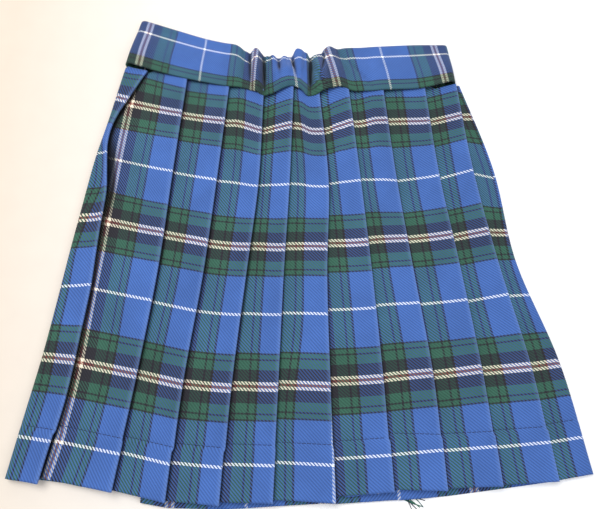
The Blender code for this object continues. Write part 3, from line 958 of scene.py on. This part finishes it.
    def outer_x(self, i: int) -> float:
        """X where pleat i's upper layer starts to turn under."""
        return self.fold[i] - self.form.cloth / 2.0 - self.form.pitch / 2.0

    def inner_x(self, i: int) -> float:
        """X where pleat i's hidden layer starts to turn down to the next pleat."""
        return self.inner[i] + self.form.pitch / 2.0

    def u(self, i: int, x: float) -> float:
        return i + self.sett_at[i] - (self.fold[i] - x) / SETT

    def v(self) -> float:
        """Place down the check, in repeats."""
        return self.form.top_sett + self.form.setts_down * self.down

    def on_back(
        self, x: float, z: float, u: float, slip: float, higher: float, painted_light: float = 0.0
    ) -> Stitch:
        """A point of the pleated back.

        Args:
            x: Its X.
            z: Its height.
            u: Its place across the check, in repeats.
            slip: How far it is moved up along the garment.
            higher: How much higher the check lies here.
            painted_light: Its painted light: a painted highlight above 0, painted shade below 0.

        Returns:
            The point.
        """
        slip *= ease(self.down / self.form.slip_start)
        drop = read(self.at_waist(x), ROW_DROP) * (1.0 - ease(self.down / ROW_DROP_END))
        v = self.v() + (higher - drop) / SETT
        return Stitch(x, self.y(x) + slip, z, u, v, painted_light)


def pleat_face(section: Section, i: int, start: float, hidden: int, shown: int) -> list[Stitch]:
    """Pleat i's upper layer.

    Args:
        section: The level down the skirt.
        i: Which pleat.
        start: X where the layer starts.
        hidden: Columns in its hidden part.
        shown: Columns in the part that shows.

    Returns:
        Its points from start to its outer fold.
    """
    form, before, end = section.form, section.edge_x[i], section.outer_x(i)
    xs = spread(start, end, shown)
    if hidden:
        edge = max(before - form.hidden_start, start + 0.5)
        xs = spread(start, edge, hidden) + spread(edge, end, shown)[1:]
    points = []
    for x in xs:
        share = section.shown_share(i, x)
        # Painted highlight along this pleat's outer fold edge.
        shade_and_highlight = form.edge_highlight * ease(1.0 - (end - x) / form.edge_width)
        # Painted shadow where the previous pleat's lifted fold edge stands over this one.
        if i > 0:
            gap = section.lift[i - 1]
            dark = ease((form.shadow_reach * gap - (x - before)) / (form.shadow_fade * gap))
            shade_and_highlight -= min(gap / form.shadow_full_lift, 1.0) * dark
        slip, higher = slipped(i, share), climbed(i, section.down, share)
        points.append(section.on_back(x, section.top(i, x), section.u(i, x), slip, higher, shade_and_highlight))
    return points


def pleat_turn(section: Section, i: int) -> list[Stitch]:
    """The half turn of pleat i at its outer fold, from its upper layer to its hidden one."""
    form, x = section.form, section.outer_x(i)
    turn = half_turn(x, section.underfold(i, x), section.top(i, x), form.pitch / 2.0, 5)[::-1]
    slip, higher = -FOLD_STEP[i] / 2.0, climbed(i, section.down, 1.0)
    points = []
    # A painted highlight on the rolled fold edge, palest at its top.
    for k, (at, z) in enumerate(turn):
        u = section.u(i, x) + form.turn_sett * (k + 1)
        points.append(section.on_back(at, z, u, slip, higher, form.turn_highlight[k]))
    return points


def pleat_underfold(
    section: Section, i: int, last_u: float, next_u: float, turned: bool = False
) -> list[Stitch]:
    """Pleat i's hidden layer, from its outer fold back to its inner fold.

    Args:
        section: The level down the skirt.
        i: Which pleat.
        last_u: Place in the check where the outer fold ends.
        next_u: Place in the check where the next pleat starts.
        turned: Whether the cloth goes on in this piece, down to the next pleat's upper layer.

    Returns:
        Its points, and those of the half turn at its inner fold where the cloth goes on.
    """
    x, half = section.inner_x(i), FOLD_STEP[i] / 2.0
    places = [(at, section.underfold(i, at)) for at in spread(section.outer_x(i), x, 6)]
    shares = [k / 9 for k in range(7)]
    if turned:
        low = section.ground(x) + section.face(i + 1, x)
        places += half_turn(x, low, section.underfold(i, x), -section.form.pitch / 2.0, 4)[::-1]
        shares += [0.7, 0.8, 0.9]
    here, there = climbed(i, section.down, 1.0), climbed(i + 1, section.down, 0.0)
    points = []
    for (at, z), share in zip(places, shares):
        u, slip = blend(last_u, next_u, share), blend(-half, half, share)
        points.append(section.on_back(at, z, u, slip, blend(here, there, share)))
    return points


@dataclass
class OverApron:
    """The over apron under everything, the left side, and the first pleat."""

    form: SkirtForm
    thickness: float = 0.8
    turn_sett: float = 0.011
    flat: tuple[float, float] = (0.302, 0.31)

    def row(self, down: float) -> list[Stitch]:
        """One row across the piece, from its free edge to the first pleat's inner fold."""
        form, section = self.form, Section(self.form, down)
        x = section.left + form.cloth / 2.0 + form.left_round
        high = section.ground(x) + section.face(0, x) + section.dent(0)
        side_u = section.u(0, x)
        turn = half_turn(x, form.over_level, high, -form.left_round, 9)
        arc = self.turn_sett * (len(turn) + 1)
        points = []
        for at in spread(section.over_edge, x, 70):
            u = side_u - arc - (at - x) / SETT
            y = section.apron_y(at, OVER_DROPS)
            points.append(Stitch(at, y, form.over_level, u, section.v()))
        back_y, front_y = section.y(x), section.apron_y(x, OVER_DROPS)
        for k, (at, z) in enumerate(turn):
            y = blend(front_y, back_y, (k + 1) / (len(turn) + 1))
            points.append(Stitch(at, y, z, side_u - arc + self.turn_sett * (k + 1), section.v()))
        points += pleat_face(section, 0, x, 0, 18)
        points += pleat_turn(section, 0)
        points += pleat_underfold(section, 0, points[-1].u, section.u(1, section.inner_x(0)))
        for point in points:
            share = section.shown_share(0, point.x)
            rise = along(STRIP_RISE, down) + along(STRIP_CLIMB, down) * (share - 0.5)
            point.v += rise / SETT
        return points

    def build(self, finish: Material) -> Object:
        """Builds and dresses the piece."""
        rows = [self.row(down) for down in self.form.downs()]
        obj = add_cloth("over_apron_cloth", rows, self.thickness, finish)
        dress(obj, ("over_apron",))
        return obj


@dataclass
class PleatedBack:
    """Pleats one to nine, ironed to lie to the right."""

    form: SkirtForm
    thickness: float = 0.8
    lap: float = 6.0
    lap_left: tuple[float, float] = (-122.0, 10.0)
    lap_right: tuple[float, float] = (108.0, 8.0)
    last_hidden: float = 0.33
    flat: tuple[float, float] = (0.87, 0.302)

    def row(self, down: float) -> list[Stitch]:
        """One row across the pleats, from the first one's hidden start to the last one's end."""
        section = Section(self.form, down)
        points: list[Stitch] = []
        last = len(section.fold) - 1
        for i in range(1, last + 1):
            points += pleat_face(section, i, section.inner_x(i - 1), 3, 17)
            points += pleat_turn(section, i)
            last_u = points[-1].u
            if i < last:
                next_u = section.u(i + 1, section.inner_x(i))
                points += pleat_underfold(section, i, last_u, next_u, turned=True)
            else:
                points += pleat_underfold(section, i, last_u, last_u + self.last_hidden)
        return points

    def lap_at(self, x: float) -> float:
        """How far the pleats' top edge runs up inside the waistband at x, less near both ends."""
        (left, left_fade), (right, right_fade) = self.lap_left, self.lap_right
        return self.lap * min(ease((x - left) / left_fade), ease((right - x) / right_fade))

    def build(self, finish: Material) -> Object:
        """Builds and dresses the piece."""
        rows = [self.row(down) for down in self.form.downs()]
        top = []
        for point in rows[0]:
            lap = self.lap_at(point.x)
            top.append(Stitch(point.x, point.y + lap, point.z, point.u, point.v - lap / SETT))
        for point in rows[0]:
            point.y -= SEAM_GAP
        obj = add_cloth("pleated_back_cloth", [top] + rows, self.thickness, finish)
        dress(obj, ("pleated_back",))
        return obj


@dataclass
class UnderApron:
    """The last hidden layer, the right side, and the under apron back to its free edge."""

    form: SkirtForm
    thickness: float = 0.8
    line_x: float = 14.6
    line_pitch: float = 98.5
    turn_sett: float = 0.006
    flat: tuple[float, float] = (0.34, 0.31)

    def row(self, down: float) -> list[Stitch]:
        """One row across the piece, from its hidden start to its free edge."""
        form, section = self.form, Section(self.form, down)
        last = len(section.fold)
        x = section.right - form.cloth / 2.0 - form.right_round
        outer = min(section.fold[-1], x - 0.5)
        points = []
        for at in spread(section.inner_x(last - 1), outer, 8) + spread(outer, x, 12)[1:]:
            u = along(SIDE_SETT, down) - (section.right - at) / SETT
            share = clamp((at - outer) / (x - outer))
            slip = FOLD_STEP[-1] / 2.0 * (1.0 - share)
            points.append(section.on_back(at, section.top(last, at), u, slip, climbed(last, down, share)))
        high, edge_v = points[-1].z, points[-1].v
        back_y, front_y = section.y(x), section.apron_y(x, UNDER_DROPS)
        turn = half_turn(x, form.over_level, high, form.right_round, 9)[::-1]
        for k, (at, z) in enumerate(turn):
            share = (k + 1) / len(turn)
            v = blend(edge_v, section.v(), share)
            u = points[-1].u + self.turn_sett
            points.append(Stitch(at, blend(back_y, front_y, share), z, u, v))
        seam_u = points[-1].u + self.turn_sett
        points.append(Stitch(x + 0.1, front_y, form.over_level, seam_u, section.v()))
        landing = section.over_edge + form.fringe_room + form.step_down
        xs = spread(x, landing, 22) + spread(landing, landing - form.step_down, 4)[1:]
        xs += spread(landing - form.step_down, section.under_edge, 44)[1:]
        for at in xs:
            y = section.apron_y(at, UNDER_DROPS)
            u = (self.line_x - at) / self.line_pitch
            points.append(Stitch(at, y, section.under_level(at), u, section.v()))
        return points

    def build(self, finish: Material) -> Object:
        """Builds and dresses the piece."""
        rows = [self.row(down) for down in self.form.downs()]
        obj = add_cloth("under_apron_cloth", rows, self.thickness, finish)
        dress(obj, ("under_apron",))
        return obj


@dataclass
class Waistband:
    """The waistband in three lengths, the back one gathered by its elastic."""

    thickness: float = 1.3
    wall: float = 1.6
    top_level: float = 5.0
    low_level: float = 9.9
    least_level: float = 3.4
    side_round: float = 3.5
    side_return: float = 9.0
    front_wall: float = 1.05
    plain_columns: int = 30
    gathered_columns: int = 170
    gathered_from: float = 0.15
    gathered_to: float = 0.86
    steps: int = 30
    sett_per_height: float = 0.5
    white_share: float = 0.25
    turn_sett: float = 0.012
    side_sett: float = 0.11
    full_height: float = 0.78
    elastic: tuple[float, float] = (-5.0, 50.0)
    pucker: float = 0.35
    pucker_pitch: float = 4.7
    rolls: tuple[tuple[float, float, float], ...] = ((1.0, 0.88, 0.14), (-0.8, 0.66, 0.16))
    top_rolls: tuple[tuple[float, float], ...] = ((1.5, 0.5), (0.55, 0.1))
    front_thickness: float = 0.95
    back_flat: tuple[float, float] = (0.33, 0.042)
    over_flat: tuple[float, float] = (0.18, 0.042)
    under_flat: tuple[float, float] = (0.2, 0.042)
    top_marks: tuple[float, ...] = (-142.0, -123.2, -76.9, -35.8, -9.4, -7.0, 7.0, 21.0, 65.0, 109.0, 135.0)
    low_marks: tuple[float, ...] = (-148.0, -129.1, -79.4, -37.0, -4.2, -0.8, 6.8, 29.8, 71.5, 115.1, 140.0)
    mark_setts: tuple[float, ...] = (-0.2, 0.0, 0.5, 1.0, 1.488, 1.512, 1.8, 2.0, 2.5, 3.0, 3.3)

    def columns(self) -> list[float]:
        """Shares of the way across the band, close together where it is gathered."""
        left = spread(0.0, self.gathered_from, self.plain_columns)
        middle = spread(self.gathered_from, self.gathered_to, self.gathered_columns)
        return left + middle[1:] + spread(self.gathered_to, 1.0, self.plain_columns)[1:]

    def height(self, x: float, share: float) -> float:
        """Height of the band's middle: over the pleats, its creases stopped by the front bands."""
        height = blend(self.top_level, self.low_level, ease(share / self.full_height))
        middle, reach = self.elastic
        elastic = bump(x - middle, reach)
        wave = math.sin(2.0 * math.pi * x / self.pucker_pitch + 3.0 * share)
        pucker = self.pucker * wave * elastic * (1.0 - 0.6 * share)
        roll = sum(high * bump(share - at, width) * elastic for high, at, width in self.rolls)
        return max(height + gathered(x, share) + pucker + roll, self.least_level)

    def u(self, x: float, share: float) -> float:
        """Place in the check across the band."""
        marks = [blend(top, low, share) for top, low in zip(self.top_marks, self.low_marks)]
        return read(x, (marks, self.mark_setts))

    def v(self, x: float, share: float) -> float:
        """Place in the check down the band: its lower border keeps its width in the gathers."""
        white = read(x, WHITE_SHARES)
        slope = self.sett_per_height * (1.0 - self.white_share) / (1.0 - white)
        return 0.5 + (share - white) * slope

    def back_row(self, share: float, sunk: float = 0.0) -> list[Stitch]:
        """One row of the back band, from its left end on the floor to its right one."""
        (left, left_y), (right, right_y) = band_point(0.0, share), band_point(1.0, share)
        first = left + self.wall / 2 + self.side_round
        last = right - self.wall / 2 - self.side_round
        floor = self.wall / 2
        higher = 0.4 * sunk / SETT
        v = self.v(left, share) - higher
        row = []
        side_u = self.u(first, share) - self.side_sett
        for x in spread(first + self.side_return, first, 4):
            row.append(Stitch(x, left_y, floor, side_u - (x - first) / SETT, v))
        turn = half_turn(first, floor, self.height(first, share) - sunk, -self.side_round, 9)
        for k, (x, z) in enumerate(turn):
            row.append(Stitch(x, left_y, z, side_u + self.turn_sett * (k + 1), v))
        for across in self.columns():
            x, y = band_point(across, share)
            x = blend(first, last, (x - left) / (right - left))
            z = self.height(x, share) - sunk
            # Painted shade: the deeper the cloth lies in a crease, the darker it is drawn.
            row.append(Stitch(x, y, z, self.u(x, share), self.v(x, share) - higher, -creased(x, share)))
        end_u = row[-1].u
        turn = half_turn(last, floor, self.height(last, share) - sunk, self.side_round, 9)[::-1]
        for k, (x, z) in enumerate(turn):
            row.append(Stitch(x, right_y, z, end_u + self.turn_sett * (k + 1), v))
        for x in spread(last, last - self.side_return, 4):
            row.append(Stitch(x, right_y, floor, end_u + self.side_sett + (last - x) / SETT, v))
        return row

    def front_row(self, share: float, xs: list[float], level_at: Callable[[float], float]) -> list[Stitch]:
        """One row of a front band, which lies flat."""
        row = []
        for x in xs:
            y = blend(read(x, FRONT_TOP), front_seam(x), share)
            row.append(Stitch(x, y, level_at(x), -x / SETT, self.v(-140.0, share)))
        return row

    def build_back(self, finish: Material) -> Object:
        """The back band, with a soft roll along its top edge."""
        rows = []
        for sunk, inward in self.top_rolls:
            row = self.back_row(0.0, sunk)
            for point in row:
                point.y -= inward
            rows.append(row)
        rows += [self.back_row(k / self.steps) for k in range(self.steps + 1)]
        obj = add_cloth("waistband_back_cloth", rows, self.thickness, finish)
        dress(obj, ("waistband_back",))
        return obj

    def build_fronts(self, finish: Material) -> list[Object]:
        """The two front bands, one over the other on the floor."""
        reach = self.wall / 2 + self.side_round + self.side_return + SEAM_GAP
        level = self.front_wall / 2
        upper = level + self.front_wall + SEAM_GAP
        start = OVER_EDGE[0] + SkirtForm.fringe_room
        step = SkirtForm.step_down

        def over_row(share: float) -> list[Stitch]:
            """A row of the over apron's band."""
            xs = spread(band_point(0.0, share)[0] + reach, OVER_EDGE[0], 60)
            return self.front_row(share, xs, lambda x: level)

        def under_row(share: float) -> list[Stitch]:
            """A row of the under apron's band, over the other one and then down to the floor."""
            right = band_point(1.0, share)[0] - reach
            xs = spread(right, start + step, 10) + spread(start + step, start, 3)[1:]
            xs += spread(start, UNDER_EDGE[0], 50)[1:]
            return self.front_row(share, xs, lambda x: blend(upper, level, clamp((x - start) / step)))

        made = []
        for name, row_at, flat, rests_on in (
            ("over_apron", over_row, self.over_flat, "waistband_back_cloth"),
            ("under_apron", under_row, self.under_flat, "waistband_over_apron_cloth"),
        ):
            rows = [row_at(share) for share in spread(0.0, 1.0, 12)]
            obj = add_cloth(f"waistband_{name}_cloth", rows, self.front_thickness, finish)
            dress(obj, (f"waistband_{name}",))
            made.append(obj)
        return made


@dataclass
class ApronFringe:
    """The frayed free edge of the over apron: loose yarn ends of the cloth's own colours."""

    form: SkirtForm
    count: int = 300
    radius: float = 0.26
    long: float = 9.0
    long_at_hem: float = 19.0
    rooted: float = 0.6
    droops_from: float = 0.87
    droop_degrees: float = 40.0
    thicker: float = 0.8
    seed: int = 11
    dyes: tuple[str, ...] = ("#12433A", "#1B5A55", "#1E2430", "#24508F", "#2A6B4C", "#16323A")

    def yarn(self, bm: bmesh.types.BMesh, dye: Any, share: float, chance: random.Random) -> None:
        """Adds one yarn end.

        Args:
            bm: The mesh that it goes into.
            dye: The vertex colour layer.
            share: How far down the apron's edge it starts.
            chance: The source of its small differences.
        """
        section = Section(self.form, blend(0.012, 0.998, share))
        edge_y = section.apron_y(section.over_edge, OVER_DROPS)
        root = Vector((section.over_edge - self.rooted, edge_y, 0.0))
        root.y += chance.uniform(-0.4, 0.4)
        droop = ease((share - self.droops_from) / 0.13)
        radius = self.radius * (1.0 + self.thicker * droop)
        aim = blend(0.0, self.droop_degrees, droop) + chance.uniform(-9.0, 9.0) * (1.0 + droop)
        angle = -math.radians(aim)
        length = blend(self.long, self.long_at_hem, droop) * chance.uniform(0.75, 1.05)
        bend = math.radians(chance.uniform(-14.0, 14.0))
        height = chance.uniform(0.32, 0.75) + 0.5 * droop * chance.random()
        color = linear(chance.choice(self.dyes))
        bmesh.ops.create_cone(bm, cap_ends=True, segments=4, radius1=0.5, radius2=0.5, depth=1.0)
        long_edges = [e for e in bm.edges if abs(e.verts[0].co.z - e.verts[1].co.z) > 0.5]
        bmesh.ops.subdivide_edges(bm, edges=long_edges, cuts=3)
        for vert in bm.verts:
            along_it = vert.co.z + 0.5
            turn = angle + bend * along_it
            ahead = Vector((math.cos(turn), math.sin(turn), 0.0))
            aside = Vector((-math.sin(turn), math.cos(turn), 0.0))
            thin = radius * (1.0 - 0.55 * along_it) / 0.5
            middle = root + ahead * length * along_it
            middle.z = max(height * (1.0 - 0.45 * along_it), radius + 0.05)
            place = middle + aside * vert.co.x * thin + Vector((0.0, 0.0, vert.co.y * thin))
            vert[dye] = color
            vert.co = (place + SHIFT) * MM

    def build(self, finish: Material) -> Object:
        """Builds and dresses the fringe."""
        chance = random.Random(self.seed)
        whole = bmesh.new()
        for k in range(self.count):
            bm = bmesh.new()
            dye = bm.verts.layers.float_color.new("dye")
            self.yarn(bm, dye, (k + chance.random()) / self.count, chance)
            mesh = bpy.data.meshes.new("yarn")
            bm.to_mesh(mesh)
            bm.free()
            whole.from_mesh(mesh)
            bpy.data.meshes.remove(mesh)
        obj = add_object("apron_fringe_yarns", whole, finish)
        return dress(obj, ("apron_fringe",))


@dataclass
class HemStitching:
    """The line of machine stitches that holds the turned-up hem, on each pleat that shows."""

    form: SkirtForm
    stitch: float = 2.5
    gap: float = 0.8
    radius: float = 0.2
    above: float = 0.45
    from_left: float = 4.0
    from_right: float = 3.0
    from_fold: float = 0.8
    past_end: float = 0.4

    def build(self, finish: Material) -> Object:
        """Builds and dresses the stitches."""
        bm = bmesh.new()
        last = len(FOLDS)
        for i in range(last + 1):
            section = Section(self.form, STITCH_LINES[i])
            start = section.fold[i - 1] if i > 0 else section.left + self.from_left
            end = section.outer_x(i) if i < last else section.right - self.from_right
            self.line(bm, section, i, start + self.from_fold, end)
        return dress(add_object("hem_stitching", bm, finish), ())

    def place(self, section: Section, i: int, x: float) -> Vector:
        """The middle of the thread on pleat i at x."""
        y = section.y(x) + slipped(i, section.shown_share(i, x))
        return Vector((x, y, section.top(i, x) + self.above))

    def line(self, bm: bmesh.types.BMesh, section: Section, i: int, start: float, end: float) -> None:
        """Adds the stitches of one pleat, from start to end."""
        x = start
        while x + self.stitch <= end + self.past_end:
            head, tail = self.place(section, i, x), self.place(section, i, x + self.stitch)
            made = bmesh.ops.create_cone(
                bm, cap_ends=True, segments=6, radius1=self.radius, radius2=self.radius, depth=1.0
            )
            ahead = tail - head
            turn = ahead.to_track_quat("Z", "Y").to_matrix().to_4x4()
            middle = (head + tail) / 2.0 + SHIFT
            scale = Matrix.Diagonal((1.0, 1.0, ahead.length, 1.0))
            matrix = Matrix.Scale(MM, 4) @ Matrix.Translation(middle) @ turn @ scale
            bmesh.ops.transform(bm, matrix=matrix, verts=made["verts"])
            x += self.stitch + self.gap


# The stage


@dataclass
class Stage:
    """A pale floor, soft studio light, and a camera at the photograph's angle."""

    elevation: float = 73.7
    lens: float = 32.0
    distance: float = 0.392
    look: tuple[float, float] = (-0.09, -11.89)
    surround: float = 0.62

    def build(self) -> None:
        """Builds the floor, the lights and the camera."""
        self.floor()
        self.lights()
        self.camera()

    def floor(self) -> None:
        """A wide pale floor just under the garment."""
        bm = bmesh.new()
        bmesh.ops.create_grid(bm, x_segments=8, y_segments=8, size=1.5)
        obj = add_object("floor", bm, PaleFloor().make())

    def light(self, name: str, place: Vector, size: float, power: float, color: str) -> None:
        """A square soft light that points at the garment."""
        lamp = bpy.data.lights.new(name, "AREA")
        lamp.size = size
        lamp.energy = power
        lamp.color = linear(color)[:3]
        obj = bpy.data.objects.new(name, lamp)
        obj.location = place
        obj.rotation_euler = (-place).to_track_quat("-Z", "Y").to_euler()
        bpy.context.scene.collection.objects.link(obj)

    def lights(self) -> None:
        """A window light from the upper left, a weaker one from the right, and a pale surround."""
        self.light("window_light", Vector((-0.42, 0.3, 1.15)), 0.8, 13.5, "#FFFFFF")
        self.light("side_fill", Vector((0.9, -0.3, 1.0)), 0.7, 4.5, "#F4F8FF")
        world = bpy.data.worlds.new("studio")
        world.use_nodes = True
        background = world.node_tree.nodes["Background"]
        plug(world.node_tree, background, {0: linear("#F4F7FF"), 1: self.surround})
        bpy.context.scene.world = world
        bpy.context.scene.view_settings.view_transform = "Standard"

    def camera(self) -> None:
        """The camera looks at the garment from its hem's side, from above."""
        tilt = math.radians(90.0 - self.elevation)
        look = (Vector((self.look[0], self.look[1], 0.0)) + SHIFT) * MM
        back = Vector((0.0, -math.sin(tilt), math.cos(tilt)))
        lens = bpy.data.cameras.new("camera")
        lens.lens = self.lens
        lens.sensor_width = 36.0
        lens.clip_start = 0.01
        obj = bpy.data.objects.new("camera", lens)
        obj.location = look + back * self.distance
        obj.rotation_euler = (tilt, 0.0, 0.0)
        bpy.context.scene.collection.objects.link(obj)
        bpy.context.scene.camera = obj


def main() -> None:
    """Builds the kilt's pieces in order and sets the stage."""
    logging.basicConfig(level=logging.INFO, format="%(name)s: %(message)s")
    cloth = TartanTwill().make()
    form = SkirtForm()
    ApronFringe(form).build(LooseYarn().make())
    OverApron(form).build(cloth)
    UnderApron(form).build(cloth)
    PleatedBack(form).build(cloth)
    band = Waistband()
    band.build_back(cloth)
    band.build_fronts(cloth)
    HemStitching(form).build(SewingThread().make())
    Stage().build()


if __name__ == "__main__":
    main()
